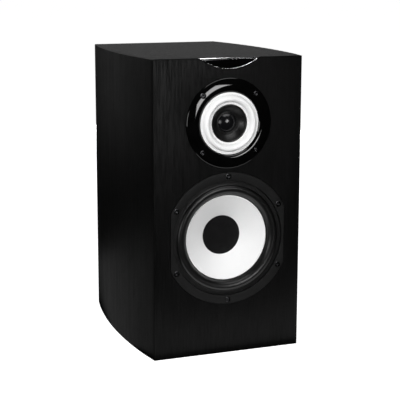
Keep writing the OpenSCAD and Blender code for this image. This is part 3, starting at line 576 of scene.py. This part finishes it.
LIP_W = 5.0                                      # the rubber's flat outer lip
ROLL_W = 13.3
ROLL_H = 6.0
RUBBER_T = 0.8
CONE_T = 0.8
CONE_FLAT = 1.2                                  # flat rim of the cone
GLUE_W = 3.5                                     # rubber behind the cone's rim


def cone_depth(radius):
    """Depth of the cone's front face."""
    top, bottom = outer("woofer_cone") - CONE_FLAT, outer("woofer_coil_former")
    rim, neck = span("woofer_cone")[0], span("woofer_cone")[1] - CONE_T
    return mix(rim, neck, (top - radius) / (top - bottom))


def build_cone():
    edge, neck = outer("woofer_cone"), outer("woofer_coil_former")
    rim, back = span("woofer_cone")
    inner = edge - CONE_FLAT
    outline = [(edge, rim), (inner, rim), (neck, back - CONE_T), (neck, back)]
    outline += [(inner, rim + CONE_T), (edge, rim + CONE_T)]
    stands_for(lathe("cone_shell", rounded(outline, 0.35, 4), WOOFER, 224, 40), "woofer_cone")


def build_dust_cap():
    """A shallow dome whose rim lies on the cone."""
    edge = outer("woofer_dust_cap")
    front = span("woofer_dust_cap")[0]
    rise = cone_depth(edge) - front
    ball = (edge * edge + rise * rise) / (2 * rise)
    skin, seat = 0.7, 1.8
    half = math.degrees(math.asin(edge / ball))
    under = math.degrees(math.asin((edge - seat) / (ball - skin)))
    outline = [(0, front)] + arc(0, front + ball, ball, ball, -90, half - 90, 28)[1:]
    outline += [(edge - seat, cone_depth(edge - seat))]
    outline += arc(0, front + ball, ball - skin, ball - skin, under - 90, -90, 20)[:-1]
    outline += [(0, front + skin)]
    stands_for(lathe("dust_cap_dome", outline, WOOFER, 160), "woofer_dust_cap")


def build_surround():
    """Half roll of rubber between its lip on the basket and its foot behind the cone's rim."""
    lip = outer("woofer_surround")
    lip_depth = 2.0
    roll_out = lip - LIP_W
    roll_in = roll_out - ROLL_W
    cone_edge, rim = outer("woofer_cone"), span("woofer_cone")[0]
    behind = rim + CONE_T
    foot = cone_edge - GLUE_W

    def skin(inset, drop):
        half = ROLL_W / 2 - inset
        made = []
        for i in range(41):
            t = i / 40
            x = (roll_out + roll_in) / 2 + half * math.cos(math.pi * t)
            made.append((x, mix(lip_depth, behind, t) + drop - ROLL_H * math.sin(math.pi * t)))
        return made

    front = softened([(lip, lip_depth)] + skin(0, 0) + [(cone_edge - 0.6, behind)], 0.5, 2)
    cone_back = cone_depth(foot) + CONE_T
    tail = [(cone_edge - CONE_FLAT, behind), (foot, cone_back), (foot, cone_back + RUBBER_T),
            (cone_edge - CONE_FLAT, behind + RUBBER_T)]
    rear = softened(skin(RUBBER_T * 0.6, RUBBER_T)[::-1] + [(lip, lip_depth + RUBBER_T)], 0.5, 1)
    piece = lathe("rubber_roll", front + tail + rear, WOOFER, 224, 50)
    stretches(piece, "woofer_surround", WOOFER)


def build_spider():
    """Corrugated cloth: its rim is glued to the basket, its middle to the coil's former."""
    edge, hub = outer("woofer_spider"), outer("woofer_coil_former") + 0.3
    back = span("woofer_spider")[1]
    wave_h, cloth, waves, flat = 1.4, 0.6, 4, 4.0
    level = back - wave_h
    start, end = hub + 1, edge - flat

    def line(shift):
        made = []
        for i in range(97):
            r = mix(hub, edge, i / 96)
            inside = start < r < end
            ripple = wave_h * math.sin(2 * math.pi * waves * (r - start) / (end - start))
            made.append((r, level + shift + (ripple if inside else 0)))
        return made

    piece = lathe("spider_cloth_disc", line(-cloth) + line(0)[::-1], WOOFER, 160, 60)
    stretches(piece, "woofer_spider", WOOFER)


FLAT_X = 79.0                                    # the flange's flats, from the middle
WOOFER_BOLT_R = 82.25
HEAD_R = 3.8                                     # recess of a screw's head
SHANK_R = 2.2                                    # hole for a screw's shank


def build_basket():
    """Cast frame: flange with two flats, six recessed screw holes and six windows."""
    edge, recess = outer("woofer_seal") + 0.5, outer("woofer_surround") + 0.7
    front, back = span("woofer_basket")
    flange_back = front + 4.5
    wall, outside = 3.0, outer("woofer_surround") - 2
    spider, ledge = outer("woofer_spider") + 0.4, span("woofer_spider")[1] - 1.4
    neck = outer("woofer_coil_former") + 3.5
    lip_back = 2.8
    outline = [(recess, front), (edge, front), (edge, flange_back), (outside, flange_back)]
    outline += [(outside, flange_back + 5), (spider + wall, ledge - 1), (spider + wall, back), (neck, back)]
    outline += [(neck, back - wall), (spider - 5, back - wall), (spider - 5, ledge), (spider, ledge)]
    outline += [(outside - wall, flange_back + 4), (outside - wall, lip_back), (recess, lip_back)]
    piece = lathe("basket_casting", rounded(outline, 0.5), WOOFER, 240)
    head_back = front + 0.7 + 2.4
    cutters = [lathe("cut", [(0, front - 1), (HEAD_R, front - 1), (HEAD_R, head_back), (SHANK_R, head_back),
                             (SHANK_R, flange_back + 1), (0, flange_back + 1)], place, 32)
               for place in around(6, WOOFER_BOLT_R, WOOFER, 90)]
    for side in (-1, 1):
        low = WOOFER + Vector((min(side * FLAT_X, side * 2 * FLAT_X), -20, -120)) * MM
        high = WOOFER + Vector((max(side * FLAT_X, side * 2 * FLAT_X), 20, 120)) * MM
        cutters.append(box_mesh("cut", low, high))
    for i in range(6):
        window = box_mesh("cut", Vector((spider - 22, 14, -17)) * MM, Vector((edge, ledge - 3, 17)) * MM)
        for vertex in window.data.vertices:
            vertex.co = Matrix.Rotation(-math.radians(30 + 60 * i), 3, "Y") @ vertex.co + WOOFER
        cutters.append(window)
    stands_for(carve(piece, cutters), "woofer_basket")


def build_screws():
    stands_for(refined("woofer_screws", "flange_cap_screws", 0.3), "woofer_screws")
    stands_for(refined("coax_screws", "bezel_cap_screws", 0.3), "coax_screws")


def build_tinsel_leads():
    """Braided leads, slack between the tags on the basket and the back of the cone."""
    high = BOX["woofer_tinsel_leads"][1]
    strip = Vector((high.x - 0.6 * MM, span("woofer_terminal_strip")[0] + 0.7, 10))
    landing = outer("woofer_coil_former") + 16
    for side, word in ((-1, "lower"), (1, "upper")):
        a = Vector((strip.x / MM, strip.y, 10 * side))
        b = Vector((landing, cone_depth(math.hypot(landing, 9)) + CONE_T + 0.9, 9 * side))
        pulls = (a, a + Vector((2, -12, 6 * side)), b + Vector((12, 6, 9 * side)), b)
        bm = bmesh.new()
        rings = []
        for i in range(33):
            t = i / 32
            weights = ((1 - t) ** 3, 3 * t * (1 - t) ** 2, 3 * t * t * (1 - t), t ** 3)
            place = sum((w * p for w, p in zip(weights, pulls)), Vector())
            slopes = (-3 * (1 - t) ** 2, 3 * (1 - t) * (1 - 3 * t), 3 * t * (2 - 3 * t), 3 * t * t)
            along = sum((w * p for w, p in zip(slopes, pulls)), Vector()).normalized()
            u = along.cross(Vector((0.1, 0.2, 0.97))).normalized()
            v = along.cross(u)
            swell = 0.6 * (1 + 0.06 * math.sin(i * math.pi / 2))
            turns = [2 * math.pi * k / 10 for k in range(10)]
            round_it = [swell * (u * math.cos(s) + v * math.sin(s)) for s in turns]
            rings.append([bm.verts.new(WOOFER + MM * (place + offset)) for offset in round_it])
        for one, other in zip(rings, rings[1:]):
            for k in range(10):
                bm.faces.new((one[k], one[(k + 1) % 10], other[(k + 1) % 10], other[k]))
        bm.faces.new(rings[0])
        bm.faces.new(rings[-1])
        piece = finish_mesh(bm, "tinsel_lead_" + word, 60)
        piece.data.materials.append(MATERIALS[SLOT["woofer_tinsel_leads"]])
        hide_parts("woofer_tinsel_leads")
        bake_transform(piece)


# ---- Coaxial driver ----

CREST = 0.3                                      # bezel's crest: share of the way out from its inner edge
BEZEL_EDGE = 2.0                                 # height of the bezel's outer edge
COAX_BOLT_R = 51.75
SKIN = 0.4                                       # thickness of the small suspensions
RING_SLOPE = 0.45                                # 0 is a half ellipse, 1 a plain arch


def sagging(radius_from, depth_from, radius_to, drop, count):
    """A circular arc that starts level at the first point and has dropped back by drop at the radius."""
    width = abs(radius_to - radius_from)
    bend = (width * width + drop * drop) / (2 * drop)
    made = []
    for i in range(count + 1):
        x = width * i / count
        depth = depth_from + bend - math.sqrt(bend * bend - x * x)
        made.append((mix(radius_from, radius_to, i / count), depth))
    return made


def build_bezel():
    """Domed mirror-black ring with its crest near the inside and four screw recesses."""
    edge, front = outer("coax_bezel"), span("coax_bezel")[0]
    inner = outer("mid_outer_suspension") + 0.2
    inner_front = -2.6
    crest = mix(inner, edge, CREST)
    outer_side = sagging(crest, front, edge, -BEZEL_EDGE - front, 26)[::-1]
    inner_side = sagging(crest, front, inner, inner_front - front, 16)[1:]
    outline = [(edge, 0), (edge, -BEZEL_EDGE + 0.35)] + outer_side[1:] + inner_side[:-1]
    outline += [(inner, inner_front + 0.25), (inner, 0)]
    piece = lathe("mirror_bezel", outline, COAX, 256, 40)
    recess = [(0, front - 1), (HEAD_R, front - 1), (HEAD_R, -0.5), (SHANK_R, -0.5), (SHANK_R, 1), (0, 1)]
    cutters = [lathe("cut", recess, place, 32) for place in around(4, COAX_BOLT_R, COAX, 45)]
    stands_for(carve(piece, cutters), "coax_bezel")


def half_roll(r0, y0, r1, y1, height, lip_in, lip_out):
    """Section of a small half roll between two radii, with flat lips on both sides."""
    front = []
    for i in range(17):
        t = i / 16
        across = (r0 + r1) / 2 + (r1 - r0) / 2 * math.cos(math.pi * t)
        front.append((across, mix(y1, y0, t) - height * math.sin(math.pi * t)))
    front = softened([(lip_out, y1)] + front + [(lip_in, y0)], 0.12, 2)
    return front + [(r, y + SKIN) for r, y in front[::-1]]


def build_midrange():
    spigot = outer("mid_outer_suspension")
    spigot_in = spigot - 1.5
    ring_out, ring_in = outer("mid_ring_diaphragm"), outer("tweeter_waveguide") + 1.6
    y_out, y_in, crown = -2.9, -2.5, 5.0
    outer_roll = half_roll(ring_out + 0.3, y_out, spigot_in, y_out, 0.3, ring_out + 0.05, spigot)
    piece = lathe("mid_rim_roll", outer_roll, COAX, 200, 60)
    stretches(piece, "mid_outer_suspension", COAX)
    body = outer("tweeter_waveguide")
    inner_roll = half_roll(body, y_in, ring_in - 0.3, y_in, 0.3, body - 1.0, ring_in - 0.05)
    piece = lathe("mid_hub_roll", inner_roll, COAX, 160, 60)
    stretches(piece, "mid_inner_suspension", COAX)

    def skin(drop):
        half = (ring_out - ring_in) / 2 - drop
        made = []
        for i in range(49):
            t = i / 48
            across = mix(math.cos(math.pi * t), 1 - 2 * t, RING_SLOPE)
            made.append(((ring_out + ring_in) / 2 + half * across,
                         mix(y_out, y_in, t) - (crown - drop) * math.sin(math.pi * t)))
        return made

    stands_for(lathe("ring_dome", skin(0) + skin(0.5)[::-1], COAX, 224, 50), "mid_ring_diaphragm")


def build_tweeter():
    """Waveguide with a rounded rim and a few fine steps, soft roll and dome."""
    rim, body = outer("tweeter_waveguide") - 1.1, outer("tweeter_waveguide")
    dome_edge, throat = outer("tweeter_dome"), outer("tweeter_dome") + 1.5
    floor, front, back = 4.4, -2.4, 8.0
    rim_w = 2.4
    outline = [(throat, floor + 0.4)]
    for i in range(1, 37):
        t = i / 36
        step = 0.12 * math.sin(6 * math.pi * t) ** 2
        outline.append((mix(throat, rim - rim_w, t), mix(floor + 0.4, front + 1, t ** 1.6) + step))
    outline += arc(rim - rim_w / 2, front + 1, rim_w / 2, -1, 180, 0, 14)
    outline += [(rim, -2.1), (body, -2.1), (body, back), (throat, back)]
    stands_for(lathe("waveguide_dish", outline, COAX, 200, 50), "tweeter_waveguide")
    roll = half_roll(dome_edge + 0.2, floor, throat - 0.1, floor, 0.4, dome_edge + 0.05, throat + 0.6)
    piece = lathe("tweeter_roll", roll, COAX, 144, 60)
    stretches(piece, "tweeter_suspension", COAX)
    rise = floor - span("tweeter_dome")[0]
    ball = (dome_edge ** 2 + rise ** 2) / (2 * rise)
    half = math.degrees(math.asin(dome_edge / ball))
    outline = [(0, floor - rise)] + arc(0, floor - rise + ball, ball, ball, -90, half - 90, 24)[1:]
    outline += arc(0, floor - rise + ball, ball - 0.3, ball - 0.3, half - 90, -90, 24)[:-1]
    outline += [(0, floor - rise + 0.3)]
    stands_for(lathe("tweeter_dome_shell", outline, COAX, 144), "tweeter_dome")


# ---- Rear ----

def build_port():
    low, high = span("port_tube")
    flange_r, bore = outer("port_tube"), 24.0
    wall, mouth = bore + 2.5, 9.0
    rear = (REAR - FACE) / MM
    outline = [(wall, low + 1.25)] + arc(bore + 1.25, low + 1.25, 1.25, -1.25, 0, 180, 10)
    outline += arc(bore + mouth, high - mouth, mouth, mouth, 180, 90, 24)
    outline += arc(flange_r - 1, high - 1, 1, 1, 90, 0, 6) + [(flange_r, rear), (wall, rear)]
    stands_for(lathe("flared_port", outline, PORT, 176, 50), "port_tube")


def build_terminals():
    for node, name, width in (("terminal_plate", "moulded_plate", 0.5),
                              ("terminal_screws", "plate_screws", 0.15),
                              ("post_studs", "plated_studs", 0.25),
                              ("post_collars", "post_bases", 0.4),
                              ("red_clamp_washer", "red_clamp_ring", 0.2),
                              ("black_clamp_washer", "black_clamp_ring", 0.2),
                              ("red_knob", "red_grip_fluted", 0.25),
                              ("black_knob", "black_grip_fluted", 0.25)):
        stands_for(refined(node, name, width), node)


# ---- Inside ----

def build_inside():
    red, black = MATERIALS["wire"], MATERIALS["black_wire"]
    in_lumps("input_wires", "input_wire_pair", (red, black), lambda c: 0 if c.x < 0 else 1)
    middle = (BOX["woofer_wires"][0].y + BOX["woofer_wires"][1].y) / 2
    in_lumps("woofer_wires", "woofer_wire_pair", (red, black), lambda c: 0 if c.y > middle else 1)
    spread = sorted([BOX["coax_wires"][0].x, BOX["coax_wires"][1].x])
    in_lumps("coax_wires", "coax_wire_pairs", (red, black),
             lambda c: int((c.x - spread[0]) / (1.8 * MM)) % 2)
    tinned, copper = MATERIALS["steel"], MATERIALS["copper"]
    in_lumps("woofer_terminal_strip", "tag_strip", (MATERIALS["phenolic"], tinned),
             lambda c: 1 if c.x > BOX["woofer_terminal_strip"][1].x - 9.5 * MM else 0)
    for node, name in (("mid_voice_coil", "mid_coil_on_former"),
                       ("tweeter_voice_coil", "tweeter_coil_on_former")):
        in_lumps(node, name, (copper,), lambda c: 0)


add_camera()
build_cabinet()
build_badge()
build_cone()
build_dust_cap()
build_surround()
build_spider()
build_basket()
build_screws()
build_tinsel_leads()
build_bezel()
build_midrange()
build_tweeter()
build_port()
build_terminals()
build_inside()


# ---- Carried-over CAD nodes ----

def finish_cad_nodes():
    """Every CAD node that still shows gets its slot's material and smooth shading."""
    for name, node in frame["nodes"].items():
        if node.hide_render:
            continue
        node.data.materials.clear()
        node.data.materials.append(MATERIALS[SLOT[name]])
        node.data.shade_smooth()
        node.data.set_sharp_from_angle(angle=math.radians(32))


finish_cad_nodes()


# ---- Stage ----

def add_floor():
    """Plain white sweep that glows, so that it stays white right up to the cabinet's foot."""
    bm = bmesh.new()
    bmesh.ops.create_grid(bm, x_segments=1, y_segments=1, size=30)
    floor = finish_mesh(bm, "floor")
    floor.location.z = -0.0005
    s = Shader("floor", Roughness=0.9, Emission_Color=(1, 1, 1, 1), Emission_Strength=1.0)
    s.colour(s.ramp(s.noise(3, 2), (0.3, 0.88), (0.7, 0.9)))
    floor.data.materials.append(s.material)
    floor.visible_glossy = False
    floor.visible_diffuse = False


def add_light(name, place, aim, size, radiance, turn=0.0, diffuse=True, glossy=True):
    """A soft box of the given brightness. With diffuse off it is a card that only glossy surfaces show."""
    data = bpy.data.lights.new(name, "AREA")
    data.shape = "RECTANGLE"
    data.size, data.size_y = size
    data.energy = radiance * math.pi * size[0] * size[1]
    light = bpy.data.objects.new(name, data)
    towards = (Vector(aim) - Vector(place)).to_track_quat("-Z", "Y").to_matrix().to_4x4()
    light.matrix_world = Matrix.Translation(place) @ towards @ Matrix.Rotation(math.radians(turn), 4, "Z")
    light.visible_camera = False
    light.visible_diffuse = diffuse
    light.visible_glossy = glossy
    bpy.context.scene.collection.objects.link(light)


def add_lights():
    front = (0, FACE, 0.24)
    add_light("key_softbox", (0.14, FACE - 2.13, 0.6), tuple(COAX), (0.95, 0.9), 8.0, glossy=False)
    add_light("key_card", (0.36, FACE - 2.13, 0.62), tuple(COAX), (0.8, 0.64), 9.0, turn=45, diffuse=False)
    add_light("left_softbox", (-1.4, FACE - 1.25, 1.05), front, (1.2, 1.2), 7.6, glossy=False)
    add_light("top_card", (0.25, FACE - 1.0, 1.9), tuple(COAX), (1.6, 0.8), 2.5, diffuse=False)
    add_light("right_fill", (1.6, FACE - 1.8, 0.9), front, (2.0, 1.6), 1.7, glossy=False)
    add_light("rear_card", (0.55, 2.2, 0.95), (0, 0, TOP), (1.9, 1.1), 0.36, diffuse=False)
    add_light("rear_fill", (1.0, 1.7, 0.14), (0, REAR, 0.2), (1.6, 0.26), 11.0)
    add_light("left_card", (-1.5, FACE - 1.1, 0.35), (-0.11, 0, 0.2), (1.0, 0.7), 3.0, diffuse=False)
    add_light("top_rear_card", (-1.0, 1.3, 1.5), (0, 0, TOP), (1.2, 0.9), 3.0, diffuse=False)
    add_light("right_card", (1.6, 0.5, 0.45), (0.11, 0, 0.2), (0.9, 0.8), 2.0, diffuse=False)
    add_light("right_floor_card", (0.45, 0.2, 0.001), (0.45, 0.2, 1), (0.6, 0.7), 1.0, diffuse=False)
    add_light("side_card", (-1.1, 2.2, 0.5), (-0.1, 0, 0.2), (1.2, 1.0), 0.3, diffuse=False)
    add_light("left_floor_card", (-0.43, 0.1, 0.001), (-0.43, 0.1, 1), (0.64, 0.6), 0.22, diffuse=False)
    add_light("front_floor_card", (0.05, FACE - 0.07, 0.001), (0.05, FACE - 0.07, 1), (0.5, 0.12), 1.3,
              diffuse=False)
    world = bpy.data.worlds.new("studio")
    world.use_nodes = True
    world.node_tree.nodes["Background"].inputs["Color"].default_value = (1, 1, 1, 1)
    world.node_tree.nodes["Background"].inputs["Strength"].default_value = 1.0
    world.cycles_visibility.glossy = False
    world.cycles_visibility.diffuse = False
    bpy.context.scene.world = world
    bpy.context.scene.view_settings.view_transform = "Standard"


add_floor()
add_lights()
